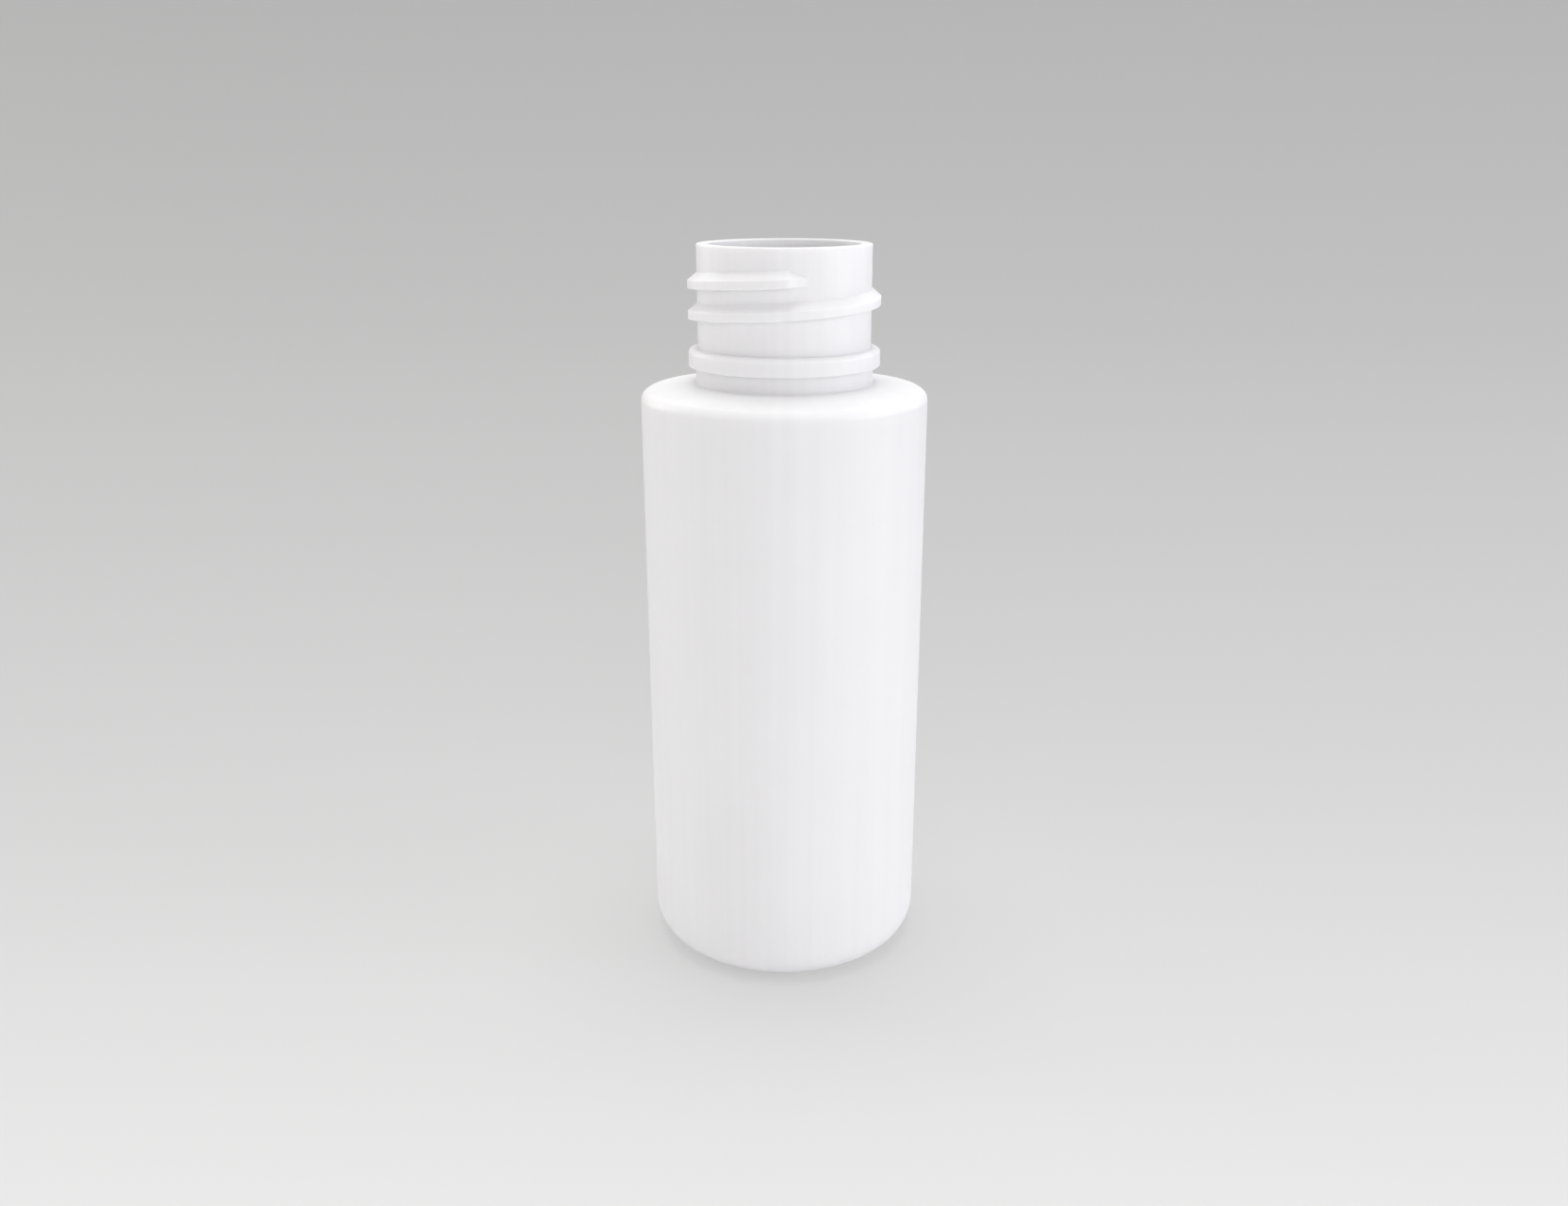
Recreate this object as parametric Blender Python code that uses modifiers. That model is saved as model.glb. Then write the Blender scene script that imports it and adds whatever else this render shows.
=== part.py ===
# Cosmetic bottle of about 60 ml, blow moulded in one piece of white plastic, with an open screw neck.
# Metres, +Z up. The origin lies on the bottle's axis, in the plane that it stands on. The front is -Y.

from math import acos, ceil, cos, pi, radians, sin, tan

import bmesh
import bpy
from mathutils import Vector

# Body, from the standing plane to the top of the shoulder, where the neck rises
BODY_DIAMETER = 0.0359
BODY_HEIGHT = 0.07599
BODY_WALL = 0.0010
SHOULDER_FALL = 0.0010
SHOULDER_ROUNDING = 0.0014
SHOULDER_WALL = 0.0012

# Base: a flat standing ring round a raised panel
BASE_ROUNDING = 0.0042
BASE_WALL = 0.0012
STANDING_RING_WIDTH = 0.0014
PUSH_UP_HEIGHT = 0.0012
PUSH_UP_RUN = 0.0018
PUSH_UP_ROUNDING = 0.0010

# Neck, from the shoulder to the rim
NECK_HEIGHT = 0.01669
NECK_DIAMETER = 0.0215
NECK_FOOT_DIAMETER = 0.02207
NECK_FOOT_ROUNDING = 0.0003
MOUTH_DIAMETER = 0.0186
MOUTH_ROUNDING = 0.00015
BORE_FOOT_ROUNDING = 0.0015
RIM_ROUNDING = 0.0002

# Transfer bead, the plain ring under the thread
BEAD_DIAMETER = 0.02383
BEAD_LIFT = 0.00202
BEAD_HEIGHT = 0.00223
BEAD_ROUNDING = 0.00065
BEAD_LOWER_ROUNDING = 0.0001
BEAD_ROOT_ROUNDING = 0.00015

# Thread: one right-hand strand, steep on top and nearly level underneath
THREAD_DIAMETER = 0.02382
THREAD_PITCH = 0.00368
THREAD_TURNS = 1.5
THREAD_CREST_WIDTH = 0.00097
THREAD_UPPER_FLANK = radians(40)
THREAD_LOWER_FLANK = radians(10)
THREAD_DROP = 0.00344           # rim to the crest's upper edge, at the strand's top end
THREAD_END_AZIMUTH = radians(1.6)
THREAD_RUN_OUT = 0.0024         # along the neck wall, from the last full section to the strand's tip
THREAD_OVERLAP = 0.0004         # how far the strand is sunk in the neck wall before the two are joined
RUN_OUT_SUNK_SHARE = 0.9        # of that overlap, how far the run-out carries on under the wall

# Facets
STEPS_PER_TURN = 64
CHORD_ERROR = 0.00003           # the most that an arc's facets may leave its curve in the section
FEWEST_ARC_STEPS = 2
LARGEST_ROUNDING_SHARE = 0.96    # of an edge, for the roundings at its two ends together
MERGE_DISTANCE = 0.00001
SHARP_ANGLE = radians(30)

# Radii and heights that follow from the sizes above
BODY_RADIUS = BODY_DIAMETER / 2
NECK_RADIUS = NECK_DIAMETER / 2
NECK_FOOT_RADIUS = NECK_FOOT_DIAMETER / 2
MOUTH_RADIUS = MOUTH_DIAMETER / 2
BEAD_RADIUS = BEAD_DIAMETER / 2
THREAD_RADIUS = THREAD_DIAMETER / 2
RIM_Z = BODY_HEIGHT + NECK_HEIGHT
BEAD_FOOT_Z = BODY_HEIGHT + BEAD_LIFT
BEAD_TOP_Z = BEAD_FOOT_Z + BEAD_HEIGHT
SHOULDER_EDGE_Z = BODY_HEIGHT - SHOULDER_FALL
RING_RADIUS = BODY_RADIUS - BASE_ROUNDING - STANDING_RING_WIDTH
PANEL_RADIUS = RING_RADIUS - PUSH_UP_RUN


def clear_scene():
    for old in list(bpy.data.objects):
        bpy.data.objects.remove(old, do_unlink=True)


def new_collection(name):
    collection = bpy.data.collections.new(name)
    bpy.context.scene.collection.children.link(collection)
    return collection


def white_plastic():
    material = bpy.data.materials.new("white_plastic")
    material.use_nodes = True
    shader = material.node_tree.nodes["Principled BSDF"]
    shader.inputs["Base Color"].default_value = (0.84, 0.84, 0.85, 1)
    shader.inputs["Roughness"].default_value = 0.38
    shader.inputs["Metallic"].default_value = 0
    return material


def rounded(corners):
    """Turns an open outline of (radius, height, rounding) corners into points, with an arc at each rounding.

    Two roundings that would overlap on the edge between them share its length.
    """
    spots = [Vector((radius, height)) for radius, height, rounding in corners]
    edges = [after - before for before, after in zip(spots, spots[1:])]
    turns = [0] + [before.angle(after) for before, after in zip(edges, edges[1:])] + [0]
    reaches = [corner[2] * tan(turn / 2) for corner, turn in zip(corners, turns)]
    fits = []
    for edge, near, far in zip(edges, reaches, reaches[1:]):
        room = LARGEST_ROUNDING_SHARE * edge.length
        fits.append(room / (near + far) if near + far > room else 1)

    points = [spots[0]]
    for index in range(1, len(corners) - 1):
        spot, turn = spots[index], turns[index]
        reach = reaches[index] * min(fits[index - 1], fits[index])
        if not reach:
            points.append(spot)
            continue
        radius = reach / tan(turn / 2)
        back = -edges[index - 1].normalized()
        onward = edges[index].normalized()
        middle = spot + (back + onward).normalized() * radius / cos(turn / 2)
        first = spot + back * reach - middle
        last = spot + onward * reach - middle
        widest_step = 2 * acos(1 - CHORD_ERROR / radius)
        steps = max(FEWEST_ARC_STEPS, ceil(turn / widest_step))
        points += [middle + first.slerp(last, step / steps).normalized() * radius for step in range(steps + 1)]
    points.append(spots[-1])
    return points


def bottle_outline():
    """The wall's section: up the inside from the middle of the floor, over the rim and down the outside."""
    inner_radius = BODY_RADIUS - BODY_WALL
    inner_rounding = BASE_ROUNDING - BODY_WALL
    ceiling_z = SHOULDER_EDGE_Z - SHOULDER_WALL
    bore_foot_z = BODY_HEIGHT - SHOULDER_WALL
    inside = [
        (0, PUSH_UP_HEIGHT + BASE_WALL, 0),
        (PANEL_RADIUS, PUSH_UP_HEIGHT + BASE_WALL, 0),
        (RING_RADIUS, BASE_WALL, 0),
        (inner_radius, BASE_WALL, inner_rounding),
        (inner_radius, ceiling_z, SHOULDER_ROUNDING),
        (MOUTH_RADIUS, bore_foot_z, BORE_FOOT_ROUNDING),
        (MOUTH_RADIUS, RIM_Z, MOUTH_ROUNDING),
    ]
    outside = [
        (NECK_RADIUS, RIM_Z, RIM_ROUNDING),
        (NECK_RADIUS, BEAD_TOP_Z, BEAD_ROOT_ROUNDING),
        (BEAD_RADIUS, BEAD_TOP_Z, BEAD_ROUNDING),
        (BEAD_RADIUS, BEAD_FOOT_Z, BEAD_LOWER_ROUNDING),
        (NECK_FOOT_RADIUS, BEAD_FOOT_Z, 0),
        (NECK_FOOT_RADIUS, BODY_HEIGHT, NECK_FOOT_ROUNDING),
        (BODY_RADIUS, SHOULDER_EDGE_Z, SHOULDER_ROUNDING),
        (BODY_RADIUS, 0, BASE_ROUNDING),
        (RING_RADIUS, 0, PUSH_UP_ROUNDING),
        (PANEL_RADIUS, PUSH_UP_HEIGHT, PUSH_UP_ROUNDING),
        (0, PUSH_UP_HEIGHT, 0),
    ]
    return rounded(inside + outside)


def turned(name, points, collection):
    """A profile at +X and the Screw modifier that turns it once round the Z axis."""
    mesh = bpy.data.meshes.new(name)
    ends = range(len(points) - 1)
    mesh.from_pydata([(point.x, 0, point.y) for point in points], [(end, end + 1) for end in ends], [])
    obj = bpy.data.objects.new(name, mesh)
    collection.objects.link(obj)
    screw = obj.modifiers.new("turn", "SCREW")
    screw.axis = "Z"
    screw.angle = 2 * pi
    screw.steps = STEPS_PER_TURN
    screw.render_steps = STEPS_PER_TURN
    screw.use_merge_vertices = True
    screw.merge_threshold = MERGE_DISTANCE
    return obj


def plan_point(radius, azimuth):
    """A point in plan, with the azimuth counted from the front towards +X."""
    return Vector((radius * sin(azimuth), -radius * cos(azimuth), 0))


def crest_height(azimuth):
    """Height of the crest's upper edge, on a helix that rises a pitch in each turn to the right."""
    return RIM_Z - THREAD_DROP + THREAD_PITCH * (azimuth - THREAD_END_AZIMUTH) / (2 * pi)


def thread_section(crest_radius, azimuth):
    """The strand's four corners in one upright plane through the axis, the inner two sunk in the neck wall."""
    sunk_radius = NECK_RADIUS - THREAD_OVERLAP
    depth = crest_radius - sunk_radius
    upper = crest_height(azimuth)
    lower = upper - THREAD_CREST_WIDTH
    corners = [
        (sunk_radius, upper + depth * tan(THREAD_UPPER_FLANK)),
        (crest_radius, upper),
        (crest_radius, lower),
        (sunk_radius, lower - depth * tan(THREAD_LOWER_FLANK)),
    ]
    return [plan_point(radius, azimuth) + Vector((0, 0, z)) for radius, z in corners]


def run_out_section(azimuth, direction):
    """The section just under the neck wall, where the crest's straight line down from a full section ends."""
    crest = plan_point(THREAD_RADIUS, azimuth)
    landing = plan_point(NECK_RADIUS, azimuth + direction * THREAD_RUN_OUT / NECK_RADIUS)
    sunk = landing + (landing - crest).normalized() * RUN_OUT_SUNK_SHARE * THREAD_OVERLAP
    return thread_section(sunk.length, azimuth + direction * crest.angle(sunk))


def thread_strand(collection):
    """Lofts the strand through its sections: a run-out, the full helix and the other run-out.

    A strand that is wide for its pitch laps over its own next turn, which the union then fuses.
    """
    steps = ceil(THREAD_TURNS * STEPS_PER_TURN)
    turn = 2 * pi * THREAD_TURNS
    azimuths = [THREAD_END_AZIMUTH - turn + turn * step / steps for step in range(steps + 1)]
    sections = [run_out_section(azimuths[0], -1)]
    sections += [thread_section(THREAD_RADIUS, azimuth) for azimuth in azimuths]
    sections.append(run_out_section(azimuths[-1], 1))

    shape = bmesh.new()
    rings = [[shape.verts.new(point) for point in section] for section in sections]
    for ring, following in zip(rings, rings[1:]):
        for corner in range(len(ring)):
            side = (ring[corner - 1], ring[corner], following[corner], following[corner - 1])
            shape.faces.new(side)
    shape.faces.new(rings[0])
    shape.faces.new(reversed(rings[-1]))
    bmesh.ops.recalc_face_normals(shape, faces=shape.faces)
    mesh = bpy.data.meshes.new("thread_strand")
    shape.to_mesh(mesh)
    shape.free()

    strand = bpy.data.objects.new("thread_strand", mesh)
    strand.hide_render = True
    strand.display_type = "WIRE"
    collection.objects.link(strand)
    return strand


def join(obj, other):
    union = obj.modifiers.new("join_" + other.name, "BOOLEAN")
    union.operation = "UNION"
    union.solver = "EXACT"
    union.use_self = True
    union.object = other


def finish_shading(obj):
    """Keeps the evaluated shape as the object's own mesh, smooth except at its sharp edges."""
    shape = obj.evaluated_get(bpy.context.evaluated_depsgraph_get())
    mesh = bpy.data.meshes.new_from_object(shape)
    obj.modifiers.clear()
    obj.data = mesh
    mesh.shade_smooth()
    mesh.set_sharp_from_angle(angle=SHARP_ANGLE)


def main():
    clear_scene()
    parts = new_collection("cosmetic_bottle")
    joined_shapes = new_collection("joined_shapes")
    plastic = white_plastic()

    bottle = turned("bottle", bottle_outline(), parts)
    strand = thread_strand(joined_shapes)
    bottle.data.materials.append(plastic)
    strand.data.materials.append(plastic)
    join(bottle, strand)
    finish_shading(bottle)


main()
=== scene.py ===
from math import ceil, cos, pi, radians, sin, tan

import bmesh
import bpy
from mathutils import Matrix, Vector


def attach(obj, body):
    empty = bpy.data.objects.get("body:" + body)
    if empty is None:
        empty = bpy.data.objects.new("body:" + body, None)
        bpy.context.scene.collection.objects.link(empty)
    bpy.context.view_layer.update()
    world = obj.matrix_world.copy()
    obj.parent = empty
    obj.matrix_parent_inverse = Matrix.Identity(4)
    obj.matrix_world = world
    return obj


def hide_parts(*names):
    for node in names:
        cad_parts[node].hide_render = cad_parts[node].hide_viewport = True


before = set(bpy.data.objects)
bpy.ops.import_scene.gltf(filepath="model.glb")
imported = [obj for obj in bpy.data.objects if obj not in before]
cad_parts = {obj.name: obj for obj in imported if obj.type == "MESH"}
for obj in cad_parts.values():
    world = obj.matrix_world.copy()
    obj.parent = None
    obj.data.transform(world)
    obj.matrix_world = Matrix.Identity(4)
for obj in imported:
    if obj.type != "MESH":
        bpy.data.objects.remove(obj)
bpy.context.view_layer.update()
print("frame loaded:", sorted(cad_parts))

mm = 0.001
samePlace = 1e-7
sameAngle = 1e-9
scene = bpy.context.scene


# camera: the photo's view, from the front and about 18 degrees above

camera = {
    "place": (0, -166.99 * mm, 101.57 * mm),
    "tiltDown": 18.213,  # degrees
    "lens": 30.514,
    "sensorWidth": 36,
    "shiftX": -0.00024,
    "reach": (5 * mm, 30),
}


def addCamera(c):
    data = bpy.data.cameras.new("photoCamera")
    data.sensor_width = c["sensorWidth"]
    data.lens = c["lens"]
    data.shift_x = c["shiftX"]
    data.clip_start, data.clip_end = c["reach"]
    obj = bpy.data.objects.new("photoCamera", data)
    obj.location = c["place"]
    obj.rotation_euler = (radians(90 - c["tiltDown"]), 0, 0)
    scene.collection.objects.link(obj)
    scene.camera = obj


addCamera(camera)
print("camera placed")


# small helpers for shader nodes

def newMaterial(name):
    mat = bpy.data.materials.new(name)
    mat.use_nodes = True
    tree = mat.node_tree
    return mat, tree, tree.nodes["Principled BSDF"]


def addNode(tree, kind, values=None, **settings):
    node = tree.nodes.new(kind)
    for name, value in settings.items():
        setattr(node, name, value)
    for socket, value in (values or {}).items():
        node.inputs[socket].default_value = value
    return node


def mathNode(tree, operation, first, second=None):
    node = tree.nodes.new("ShaderNodeMath")
    node.operation = operation
    for index, value in enumerate((first, second)):
        if value is None:
            continue
        if isinstance(value, (int, float)):
            node.inputs[index].default_value = value
        else:
            tree.links.new(value, node.inputs[index])
    return node.outputs[0]


def noiseNode(tree, place, scale, detail, roughness=0.5):
    node = addNode(tree, "ShaderNodeTexNoise", {"Scale": scale, "Detail": detail, "Roughness": roughness})
    tree.links.new(place, node.inputs["Vector"])
    return node.outputs[0]


def bumpNode(tree, height, strength, depth, normal=None):
    node = addNode(tree, "ShaderNodeBump", {"Strength": strength, "Distance": depth})
    tree.links.new(height, node.inputs["Height"])
    if normal:
        tree.links.new(normal, node.inputs["Normal"])
    return node.outputs[0]


def mixColours(tree, share, first, second):
    # the node's colour sockets share their names with its other sockets, so they go by number
    node = addNode(tree, "ShaderNodeMix", data_type="RGBA")
    tree.links.new(share, node.inputs[0])
    tree.links.new(first, node.inputs[6])
    tree.links.new(second, node.inputs[7])
    return node.outputs[2]


def seenRay(tree):
    # 1 where a ray shows the surface itself, straight or mirrored; 0 where the ray only gathers its light
    ray = addNode(tree, "ShaderNodeLightPath")
    return mathNode(tree, "MAXIMUM", ray.outputs["Is Camera Ray"],
                    mathNode(tree, "MAXIMUM", ray.outputs["Is Glossy Ray"], ray.outputs["Is Transmission Ray"]))


# white HDPE: satin, faint die streaks down the wall, fine mould grain

whitePlasticLook = {
    "lightTone": (0.852, 0.852, 0.858, 1),
    "darkTone": (0.826, 0.825, 0.832, 1),
    "toneBand": (0.36, 0.64),  # noise levels that take the dark and the light tone
    "smoothest": 0.33,
    "roughest": 0.46,
    "sheenBand": (0.3, 0.7),  # noise levels of the smoothest and the roughest spots
    "streaksRound": 14,  # noise cells for each radian round the bottle
    "streaksUp": 9,  # and for each metre of its height
    "streakShare": 0.6,  # the clouds have the rest of the colour
    "cloudsAcross": 60,  # noise cells for each metre
    "grainSize": 0.16 * mm,
    "peelSize": 1.9 * mm,
    "grainDepth": 0.0035 * mm,
    "peelDepth": 0.010 * mm,
    "bumpStrength": 0.5,
    "ior": 1.54,
    "glow": 0.5,
    "glowReach": 1.1 * mm,
    "glowColour": (1.0, 0.97, 0.95),
}


def makeWhitePlastic(look):
    mat, tree, shader = newMaterial("whitePlastic")
    link = tree.links.new
    place = addNode(tree, "ShaderNodeTexCoord").outputs["Object"]
    parts = addNode(tree, "ShaderNodeSeparateXYZ")
    link(place, parts.inputs[0])
    x, y, z = parts.outputs

    # streaks: the noise is stretched along the height and wraps round on a circle
    angle = mathNode(tree, "ARCTAN2", x, y)
    across = addNode(tree, "ShaderNodeCombineXYZ")
    link(mathNode(tree, "MULTIPLY", mathNode(tree, "SINE", angle), look["streaksRound"]), across.inputs[0])
    link(mathNode(tree, "MULTIPLY", mathNode(tree, "COSINE", angle), look["streaksRound"]), across.inputs[1])
    link(mathNode(tree, "MULTIPLY", z, look["streaksUp"]), across.inputs[2])
    streaks = noiseNode(tree, across.outputs[0], 1, 3, 0.6)
    clouds = noiseNode(tree, place, look["cloudsAcross"], 4, 0.55)
    peel = noiseNode(tree, place, 1 / look["peelSize"], 2)
    grain = noiseNode(tree, place, 1 / look["grainSize"], 3, 0.65)

    # colour: streaks and clouds together, all within a few hundredths
    blend = mathNode(tree, "ADD", mathNode(tree, "MULTIPLY", streaks, look["streakShare"]),
                     mathNode(tree, "MULTIPLY", clouds, 1 - look["streakShare"]))
    tone = addNode(tree, "ShaderNodeValToRGB")
    stops = tone.color_ramp.elements
    for stop, level, colour in zip(stops, look["toneBand"], (look["darkTone"], look["lightTone"])):
        stop.position = level
        stop.color = colour
    link(blend, tone.inputs[0])
    link(tone.outputs[0], shader.inputs["Base Color"])

    sheen = addNode(tree, "ShaderNodeMapRange", {
        "From Min": look["sheenBand"][0], "From Max": look["sheenBand"][1],
        "To Min": look["smoothest"], "To Max": look["roughest"]})
    halfway = mathNode(tree, "ADD", mathNode(tree, "MULTIPLY", clouds, 0.5), mathNode(tree, "MULTIPLY", grain, 0.5))
    link(halfway, sheen.inputs["Value"])
    link(sheen.outputs[0], shader.inputs["Roughness"])

    wavy = bumpNode(tree, peel, look["bumpStrength"], look["peelDepth"])
    link(bumpNode(tree, grain, look["bumpStrength"], look["grainDepth"], wavy), shader.inputs["Normal"])

    shader.inputs["IOR"].default_value = look["ior"]
    shader.inputs["Subsurface Weight"].default_value = look["glow"]
    shader.inputs["Subsurface Radius"].default_value = look["glowColour"]
    shader.inputs["Subsurface Scale"].default_value = look["glowReach"]
    return mat


whitePlastic = makeWhitePlastic(whitePlasticLook)
print("white plastic made")


# the bottle: one blow-moulded wall, from the push-up over the rim and back

bottle = {
    "bodyRadius": 17.95 * mm,
    "shoulderZ": 75.99 * mm,  # where the neck rises
    "shoulderFall": 1.0 * mm,
    "shoulderRound": 1.4 * mm,
    "bodyWall": 1.0 * mm,
    "shoulderWall": 1.2 * mm,
    "baseRound": 4.2 * mm,
    "baseWall": 1.2 * mm,
    "ringInner": 12.35 * mm,
    "panelRadius": 10.55 * mm,
    "pushUp": 1.2 * mm,
    "pushUpRound": 1.0 * mm,
    "rimZ": 92.68 * mm,
    "neckRadius": 10.75 * mm,
    "neckFootRadius": 11.035 * mm,
    "neckFootRound": 0.3 * mm,
    "mouthRadius": 9.3 * mm,
    "mouthRound": 0.15 * mm,
    "boreFootRound": 1.5 * mm,
    "insideBaseRound": 0.8 * mm,
    "rimRound": 0.2 * mm,
    "beadRadius": 11.915 * mm,
    "beadFootZ": 78.01 * mm,
    "beadTopZ": 80.24 * mm,
    "beadRound": 0.65 * mm,
    "beadLowerRound": 0.1 * mm,
    "beadRootRound": 0.15 * mm,
    "arcStep": 7,  # degrees between the rows of a rounding
    "columnStep": 1.9,  # degrees between the columns, at most
    "sharpAbove": 35,
}
thread = {
    "crestRadius": 11.91 * mm,
    "pitch": 3.68 * mm,
    "turns": 1.5,
    "crestWidth": 0.97 * mm,
    "upperFlank": 40,
    "lowerFlank": 10,
    "endZ": 89.24 * mm,  # the crest's upper edge where the strand ends
    "endAzimuth": 1.6,  # degrees from the front, towards +X
    "runOut": 2.4 * mm,
    "rootRound": 0.12 * mm,
    "crestRound": 0.09 * mm,
    "openRows": (2.1 * mm, 1.45 * mm),  # plain rows on the wall between two turns
    "arcStep": 16,
}
partingLine = {
    "azimuths": (90, 270),
    "height": 0.022 * mm,
    "profile": ((-0.95, 0), (-0.4, 0.45), (0, 1), (0.4, 0.45), (0.95, 0)),  # degrees, share of the height
    "fadeBelowZ": 2.5 * mm,
}
pinchOff = {
    "halfLength": 8.2 * mm,
    "halfWidth": 0.32 * mm,
    "height": 0.16 * mm,
    "stations": 40,
    "sides": 12,
    "waviness": 0.12,
    "waves": (23, 31),  # radians of wave in half the length, across and deep
}
edgeShare = 0.96  # the most of an edge that the roundings at its two ends may take


def roundedLine(corners, stepDegrees):
    # (radius, height, rounding) corners of an open line; neighbouring roundings share the edge between them
    spots = [Vector((r, z)) for r, z, rounding in corners]
    edges = [b - a for a, b in zip(spots, spots[1:])]
    turns = [0] + [a.angle(b) for a, b in zip(edges, edges[1:])] + [0]
    reaches = [c[2] * tan(turn / 2) for c, turn in zip(corners, turns)]
    fits = [min(1, edgeShare * e.length / (a + b)) if a + b else 1 for e, a, b in zip(edges, reaches, reaches[1:])]
    points = [spots[0]]
    for i in range(1, len(corners) - 1):
        reach = reaches[i] * min(fits[i - 1], fits[i])
        if not reach:
            points.append(spots[i])
            continue
        radius = reach / tan(turns[i] / 2)
        back, onward = -edges[i - 1].normalized(), edges[i].normalized()
        middle = spots[i] + (back + onward).normalized() * radius / cos(turns[i] / 2)
        first, last = spots[i] + back * reach - middle, spots[i] + onward * reach - middle
        steps = max(2, ceil(turns[i] / radians(stepDegrees)))
        points += [middle + first.slerp(last, s / steps).normalized() * radius for s in range(steps + 1)]
    return points + [spots[-1]]


def insideAndRim(b):
    innerRadius = b["bodyRadius"] - b["bodyWall"]
    return roundedLine([
        (0, b["pushUp"] + b["baseWall"], 0),
        (b["panelRadius"], b["pushUp"] + b["baseWall"], b["insideBaseRound"]),
        (b["ringInner"], b["baseWall"], b["insideBaseRound"]),
        (innerRadius, b["baseWall"], b["baseRound"] - b["bodyWall"]),
        (innerRadius, b["shoulderZ"] - b["shoulderFall"] - b["shoulderWall"], b["shoulderRound"]),
        (b["mouthRadius"], b["shoulderZ"] - b["shoulderWall"], b["boreFootRound"]),
        (b["mouthRadius"], b["rimZ"], b["mouthRound"]),
        (b["neckRadius"], b["rimZ"], b["rimRound"]),
        (b["neckRadius"], b["beadTopZ"], 0),
    ], b["arcStep"])[:-1]


def beadAndBody(b):
    return roundedLine([
        (b["neckRadius"], b["rimZ"], 0),
        (b["neckRadius"], b["beadTopZ"], b["beadRootRound"]),
        (b["beadRadius"], b["beadTopZ"], b["beadRound"]),
        (b["beadRadius"], b["beadFootZ"], b["beadLowerRound"]),
        (b["neckFootRadius"], b["beadFootZ"], 0),
        (b["neckFootRadius"], b["shoulderZ"], b["neckFootRound"]),
        (b["bodyRadius"], b["shoulderZ"] - b["shoulderFall"], b["shoulderRound"]),
        (b["bodyRadius"], 0, b["baseRound"]),
        (b["ringInner"], 0, b["pushUpRound"]),
        (b["panelRadius"], b["pushUp"], b["pushUpRound"]),
        (0, b["pushUp"], 0),
    ], b["arcStep"])[1:]


def columnAngles(b, t, p):
    # from the strand's end, to the right, with columns on its run-outs and on the two parting lines
    tip = t["runOut"] / b["neckRadius"]
    start = (-2 * pi * t["turns"]) % (2 * pi)
    marks = [0, tip, start, start - tip]
    for azimuth in p["azimuths"]:
        marks += [radians(azimuth - t["endAzimuth"] + offset) for offset, share in p["profile"]]
    marks = sorted(marks) + [2 * pi]
    angles = []
    for a, c in zip(marks, marks[1:]):
        steps = max(1, ceil((c - a) / radians(b["columnStep"])))
        angles += [a + (c - a) * s / steps for s in range(steps)]
    return angles


def partingRise(angle, t, p):
    # share of the parting line's height at this column
    best = 0
    for azimuth in p["azimuths"]:
        for offset, share in p["profile"]:
            if abs(angle - radians(azimuth - t["endAzimuth"] + offset)) < sameAngle:
                best = share
    return best


def chordRadius(fromRadius, toRadius, spread, angle):
    # radius of the straight line between two points a spread apart, at an angle from the first
    first = Vector((fromRadius, 0))
    last = Vector((toRadius * cos(spread), toRadius * sin(spread)))
    run = last - first
    ray = Vector((cos(angle), sin(angle)))
    return (first.x * last.y - first.y * last.x) / (ray.x * run.y - ray.y * run.x)


def strandDepth(total, b, t):
    # how far the crest stands off the neck wall, with total as the angle past the strand's end
    tip = t["runOut"] / b["neckRadius"]
    past = max(total, -2 * pi * t["turns"] - total)
    if past <= sameAngle:
        return t["crestRadius"] - b["neckRadius"]
    if past >= tip - sameAngle:
        return 0
    return chordRadius(t["crestRadius"], b["neckRadius"], tip, past) - b["neckRadius"]


def strandSection(b, t):
    # (height from the crest's upper edge, stand-off) points of the full section, top to bottom
    depth = t["crestRadius"] - b["neckRadius"]
    upper = depth * tan(radians(t["upperFlank"]))
    lower = -t["crestWidth"] - depth * tan(radians(t["lowerFlank"]))
    line = roundedLine([
        (0, t["openRows"][1], 0),
        (0, upper, t["rootRound"]),
        (depth, 0, t["crestRound"]),
        (depth, -t["crestWidth"], t["crestRound"]),
        (0, lower, t["rootRound"]),
        (0, lower - t["openRows"][1] + upper, 0),
    ], t["arcStep"])[1:-1]
    return [(h, 0) for h in t["openRows"]] + [(point.y, point.x) for point in line]


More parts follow.
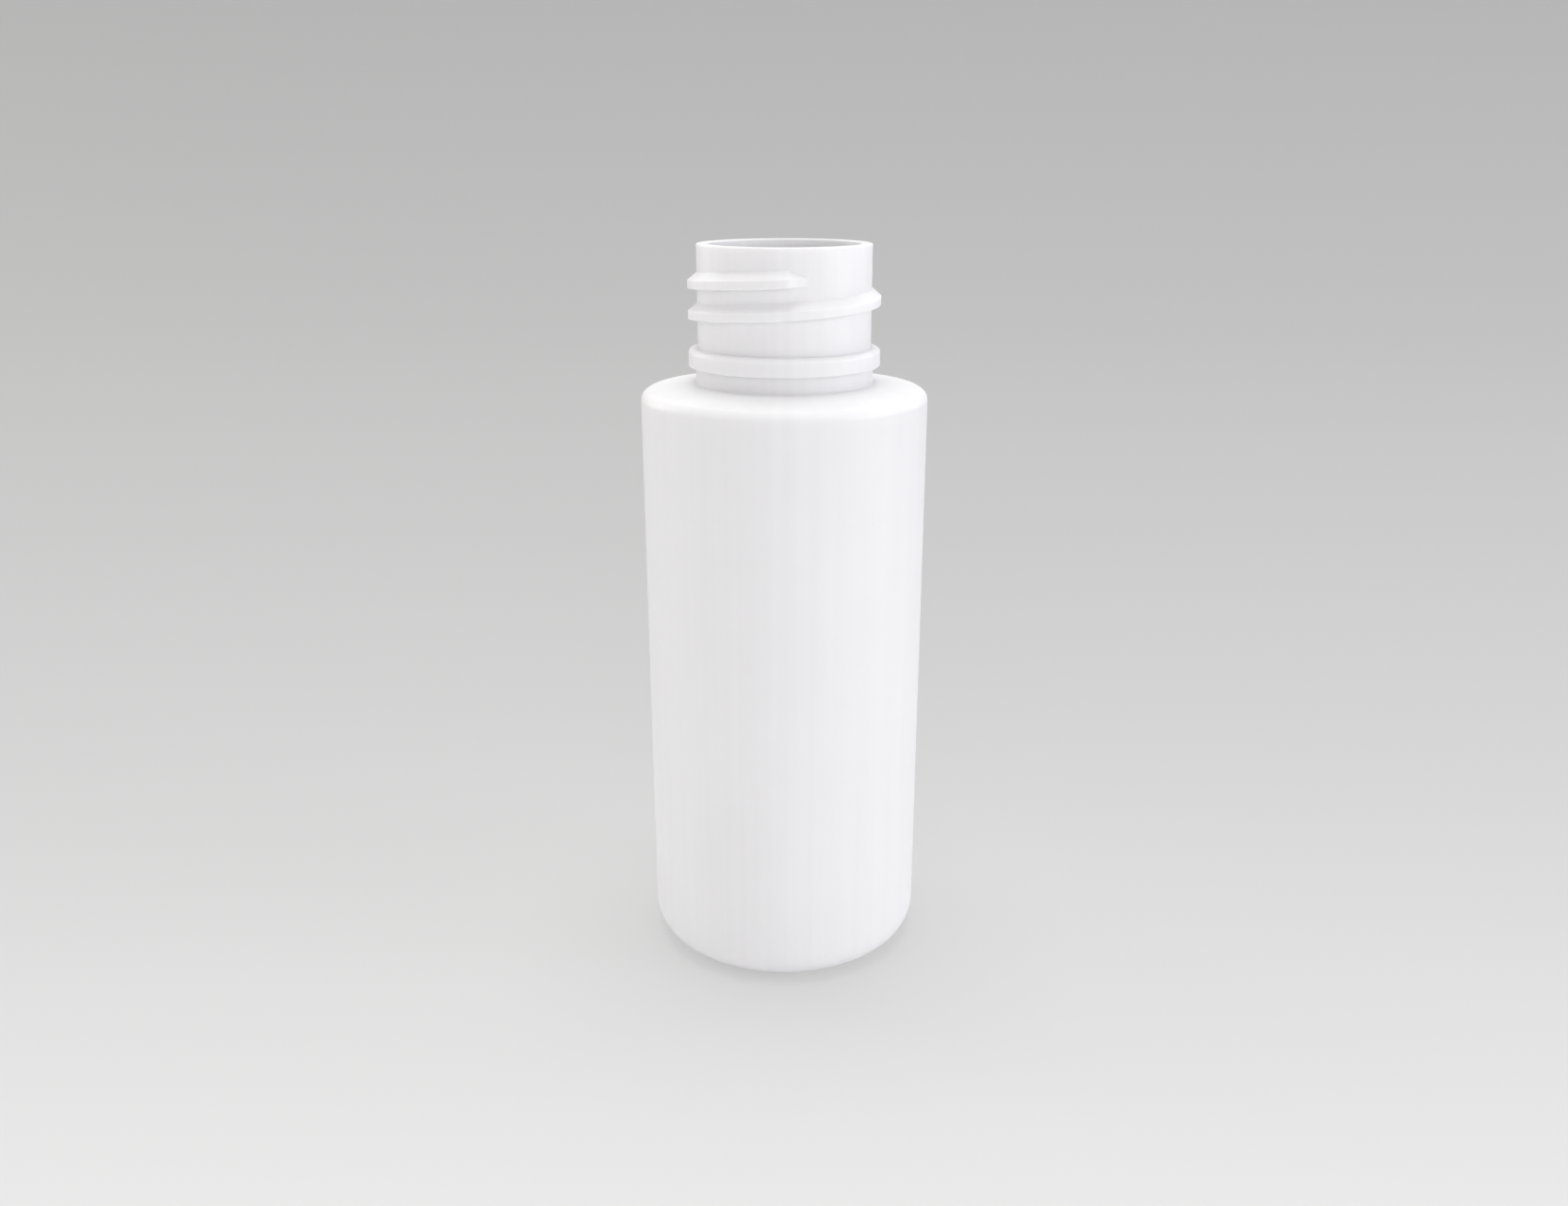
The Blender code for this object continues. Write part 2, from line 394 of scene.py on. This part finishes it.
def buildBottle(b, t, p):
    mesh = bmesh.new()
    angles = columnAngles(b, t, p)
    columns = len(angles)
    above, below = insideAndRim(b), beadAndBody(b)
    full = t["crestRadius"] - b["neckRadius"]
    section = strandSection(b, t)
    topZ, bottomZ = above[-1].y, below[0].y

    def spot(radius, angle, z):
        # a point at the floor stays on it, also where the wall between the parting lines is set in
        azimuth = angle + radians(t["endAzimuth"])
        return (radius * sin(azimuth), -radius * cos(azimuth), max(z, 0))

    def turnedRings(points, outside):
        rings = []
        for i, point in enumerate(points):
            if point.x < samePlace:
                rings.append([mesh.verts.new((0, 0, point.y))] * columns)
                continue
            before, after = points[max(i - 1, 0)], points[min(i + 1, len(points) - 1)]
            way = (after - before).normalized()
            out = Vector((-way.y, way.x))  # off the wall, away from the plastic
            ring = []
            for angle in angles:
                lift = 0
                if outside:
                    lift = p["height"] * (partingRise(angle, t, p) - 1) * min(1, point.y / p["fadeBelowZ"])
                ring.append(mesh.verts.new(spot(point.x + out.x * lift, angle, point.y + out.y * lift)))
            rings.append(ring)
        return rings

    upperRings = turnedRings(above, False)
    lowerRings = turnedRings(below, True)

    # the threaded band: its rows climb with the helix, and end level at the rim and at the bead
    turnsShown = ceil((topZ - bottomZ) / t["pitch"]) + 2
    kept = {}

    def bandVert(column, row):
        if column == columns:
            return bandVert(0, row - len(section))
        turn, step = divmod(row, len(section))
        height, standOff = section[step]
        angle = angles[column]
        share = strandDepth(angle - 2 * pi * turn, b, t) / full
        if height > 0 and step >= len(t["openRows"]):
            height *= share
        elif height < -t["crestWidth"]:
            height = -t["crestWidth"] + (height + t["crestWidth"]) * share
        z = t["endZ"] + t["pitch"] * (angle / (2 * pi) - turn) + height
        if z >= topZ - samePlace:
            return upperRings[-1][column]
        if z <= bottomZ + samePlace:
            return lowerRings[0][column]
        key = (column, round(z / (0.1 * samePlace)))
        if key not in kept:
            lift = p["height"] * (partingRise(angle, t, p) - 1)
            kept[key] = mesh.verts.new(spot(b["neckRadius"] + standOff * share + lift, angle, z))
        return kept[key]

    def addFace(*corners):
        rim = []
        for corner in corners:
            if corner not in rim:
                rim.append(corner)
        if len(rim) > 2:
            mesh.faces.new(rim)

    for rings in (upperRings, lowerRings):
        for ring, nextRing in zip(rings, rings[1:]):
            for c in range(columns):
                d = (c + 1) % columns
                addFace(ring[c], nextRing[c], nextRing[d], ring[d])
    for c in range(columns):
        for row in range(-len(section), turnsShown * len(section)):
            addFace(bandVert(c, row), bandVert(c, row + 1), bandVert(c + 1, row + 1), bandVert(c + 1, row))
    return mesh


def addPinchOff(mesh, b, p):
    # the weld under the push-up, where the mould halves nip the tube shut; it runs between the parting lines
    rings = []
    for i in range(1, p["stations"]):
        along = cos(pi * i / p["stations"])
        swell = (1 - along ** 4) ** 0.5
        wide = p["halfWidth"] * swell * (1 + p["waviness"] * sin(along * p["waves"][0]))
        deep = p["height"] * swell * (1 + p["waviness"] * sin(along * p["waves"][1] + 1))
        turns = [2 * pi * k / p["sides"] for k in range(p["sides"])]
        rings.append([mesh.verts.new((p["halfLength"] * along, wide * sin(turn), b["pushUp"] + deep * cos(turn)))
                      for turn in turns])
    for ring, nextRing in zip(rings, rings[1:]):
        for k in range(p["sides"]):
            mesh.faces.new((ring[k - 1], ring[k], nextRing[k], nextRing[k - 1]))
    for ring, sign in ((rings[0], 1), (rings[-1], -1)):
        tip = mesh.verts.new((sign * p["halfLength"], 0, b["pushUp"]))
        for k in range(p["sides"]):
            mesh.faces.new((ring[k - 1], ring[k], tip))


def finishMesh(name, mesh, mat, sharpAbove):
    bmesh.ops.recalc_face_normals(mesh, faces=mesh.faces)
    data = bpy.data.meshes.new(name)
    mesh.to_mesh(data)
    mesh.free()
    data.shade_smooth()
    data.set_sharp_from_angle(angle=radians(sharpAbove))
    data.materials.append(mat)
    obj = bpy.data.objects.new(name, data)
    scene.collection.objects.link(obj)
    even = obj.modifiers.new("evenShading", "WEIGHTED_NORMAL")
    even.keep_sharp = True
    return obj


bottleMesh = buildBottle(bottle, thread, partingLine)
addPinchOff(bottleMesh, bottle, pinchOff)
print("bottle mesh:", len(bottleMesh.verts), "points,", len(bottleMesh.faces), "faces,",
      sum(not e.is_manifold for e in bottleMesh.edges), "open edges")
bottlePiece = finishMesh("mouldedBottle", bottleMesh, whitePlastic, bottle["sharpAbove"])
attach(bottlePiece, "root")
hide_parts("bottle")
print("bottle built")


# floor: a paper sweep, pale in front and greyer towards its top; to the sides and far in front it
# melts into the room

room = {
    "light": (0.555, 0.545, 0.55, 1),
    "seen": (0.68, 0.68, 0.68, 1),
}
sweep = {
    "halfWidth": 4,
    "front": -4.0,
    "wallY": 0.95,
    "bend": 0.35,
    "bendSteps": 16,
    "wallTop": 0.75,
    # distance along the sweep from the bottle's axis, the grey seen there, and the grey of the light it throws back
    "tones": (
        (-0.20, 0.886, 0.85),
        (-0.12, 0.843, 0.85),
        (-0.06, 0.777, 0.85),
        (-0.03, 0.717, 0.85),
        (0, 0.674, 0.85),
        (0.05, 0.621, 0.85),
        (0.10, 0.596, 0.84),
        (0.20, 0.555, 0.80),
        (0.40, 0.517, 0.66),
        (0.80, 0.486, 0.5),
        (1.30, 0.373, 0.4),
    ),
    "plainShare": 0.65,  # share of the seen tone that takes no shade
    "meltFrom": 0.65,
    "meltTo": 1.6,
    "roughness": 0.95,
    "gloss": 0.1,
    "fibreSize": 0.4 * mm,
    "fibreDepth": 0.02 * mm,
    "bumpStrength": 0.15,
}


def makePaper(s, r):
    mat, tree, shader = newMaterial("paper")
    link = tree.links.new
    along = addNode(tree, "ShaderNodeAttribute", attribute_name="along")
    first, last = s["tones"][0][0], s["tones"][-1][0]
    share = addNode(tree, "ShaderNodeMapRange", {"From Min": first, "From Max": last})
    link(along.outputs["Fac"], share.inputs["Value"])
    ramps = []
    for column in (1, 2):
        ramp = addNode(tree, "ShaderNodeValToRGB")
        ramp.color_ramp.interpolation = "B_SPLINE"
        stops = ramp.color_ramp.elements
        while len(stops) < len(s["tones"]):
            stops.new(0.5)
        for stop, row in zip(stops, s["tones"]):
            stop.position = (row[0] - first) / (last - first)
            stop.color = (row[column], row[column], row[column], 1)
        link(share.outputs[0], ramp.inputs[0])
        ramps.append(ramp.outputs[0])
    shown, thrownBack = ramps

    place = addNode(tree, "ShaderNodeTexCoord").outputs["Object"]
    parts = addNode(tree, "ShaderNodeSeparateXYZ")
    link(place, parts.inputs[0])
    away = mathNode(tree, "MAXIMUM", mathNode(tree, "ABSOLUTE", parts.outputs["X"]),
                    mathNode(tree, "MULTIPLY", parts.outputs["Y"], -1))
    melt = addNode(tree, "ShaderNodeMapRange", {"From Min": s["meltFrom"], "From Max": s["meltTo"]},
                   interpolation_type="SMOOTHSTEP")
    link(away, melt.inputs["Value"])
    roomTone = addNode(tree, "ShaderNodeRGB")
    roomTone.outputs[0].default_value = r["seen"]
    shown = mixColours(tree, melt.outputs[0], shown, roomTone.outputs[0])

    seen = seenRay(tree)
    tone = mixColours(tree, seen, thrownBack, shown)
    link(tone, shader.inputs["Base Color"])
    plain = addNode(tree, "ShaderNodeEmission")
    link(shown, plain.inputs["Color"])
    mix = addNode(tree, "ShaderNodeMixShader")
    plainShare = mathNode(tree, "MAXIMUM", melt.outputs[0], s["plainShare"])
    link(mathNode(tree, "MULTIPLY", seen, plainShare), mix.inputs[0])
    link(shader.outputs[0], mix.inputs[1])
    link(plain.outputs[0], mix.inputs[2])
    link(mix.outputs[0], tree.nodes["Material Output"].inputs["Surface"])

    fibres = noiseNode(tree, place, 1 / s["fibreSize"], 3)
    link(bumpNode(tree, fibres, s["bumpStrength"], s["fibreDepth"]), shader.inputs["Normal"])
    shader.inputs["Roughness"].default_value = s["roughness"]
    shader.inputs["Specular IOR Level"].default_value = s["gloss"]
    return mat


def buildSweep(s, r):
    # rows closer together near the bottle, where the tones change most
    line = [(s["front"], 0), (-1.0, 0)]
    line += [(-0.5 + 0.05 * i, 0) for i in range(23)]
    for i in range(s["bendSteps"] + 1):
        turn = pi / 2 * i / s["bendSteps"]
        line.append((s["wallY"] - s["bend"] + s["bend"] * sin(turn), s["bend"] * (1 - cos(turn))))
    line.append((s["wallY"], s["wallTop"]))
    verts, faces, along = [], [], []
    length = s["front"]
    for i, (y, z) in enumerate(line):
        if i:
            length += Vector((y - line[i - 1][0], z - line[i - 1][1])).length
        for x in (-s["halfWidth"], s["halfWidth"]):
            verts.append((x, y, z))
            along.append(length)
        if i:
            faces.append((2 * i - 2, 2 * i - 1, 2 * i + 1, 2 * i))
    data = bpy.data.meshes.new("paperSweep")
    data.from_pydata(verts, [], faces)
    data.attributes.new("along", "FLOAT", "POINT").data.foreach_set("value", along)
    data.shade_smooth()
    data.materials.append(makePaper(s, r))
    obj = bpy.data.objects.new("paperSweep", data)
    scene.collection.objects.link(obj)


buildSweep(sweep, room)
print("floor laid")


# light: soft boxes in an even room; the overhead and the front box leave no highlight on the
# bottle, as in the photo, and the boxes on the right are the coolest

lamps = {
    "overhead": {"place": (0, 0.1, 1.6), "size": (0.9, 0.9), "power": 11.6,
                 "inGloss": False, "tint": (1.005, 1.01, 0.985)},
    "front": {"place": (-0.1, -1.6, 0.6), "size": (1.4, 0.5), "power": 4.8,
              "inGloss": False, "tint": (1.01, 0.985, 1)},
    "behind": {"place": (0, 0.8, 0.62), "size": (1.6, 0.3), "power": 2.4,
               "inGloss": True, "tint": (1, 1, 1)},
    "right": {"place": (1.3, -0.3, 0.35), "size": (0.5, 0.6), "power": 4.15,
              "inGloss": True, "tint": (0.965, 0.975, 1.08)},
    "rightBehind": {"place": (1.1, 0.65, 0.4), "size": (0.4, 0.7), "power": 1.6,
                    "inGloss": True, "tint": (0.965, 0.975, 1.08)},
    "leftBehind": {"place": (-1.1, 0.65, 0.4), "size": (0.4, 0.7), "power": 2.8,
                   "inGloss": True, "tint": (1.06, 1.01, 0.95)},
}
aimAt = Vector((0, 0, 0.045))


def addLamp(name, lamp):
    data = bpy.data.lights.new(name, "AREA")
    data.shape = "RECTANGLE"
    data.size, data.size_y = lamp["size"]
    data.energy = lamp["power"]
    data.color = lamp["tint"]
    obj = bpy.data.objects.new(name, data)
    obj.location = lamp["place"]
    obj.rotation_euler = (aimAt - obj.location).to_track_quat("-Z", "Y").to_euler()
    obj.visible_camera = False
    obj.visible_glossy = lamp["inGloss"]
    scene.collection.objects.link(obj)


def lightRoom(r):
    world = bpy.data.worlds.new("room")
    scene.world = world
    world.use_nodes = True
    tree = world.node_tree
    light = tree.nodes["Background"]
    light.inputs["Color"].default_value = r["light"]
    seen = addNode(tree, "ShaderNodeBackground", {"Color": r["seen"]})
    mix = addNode(tree, "ShaderNodeMixShader")
    tree.links.new(seenRay(tree), mix.inputs[0])
    tree.links.new(light.outputs[0], mix.inputs[1])
    tree.links.new(seen.outputs[0], mix.inputs[2])
    tree.links.new(mix.outputs[0], tree.nodes["World Output"].inputs["Surface"])


for lampName, lampSizes in lamps.items():
    addLamp(lampName, lampSizes)
lightRoom(room)
scene.view_settings.view_transform = "Standard"
print("lights set")
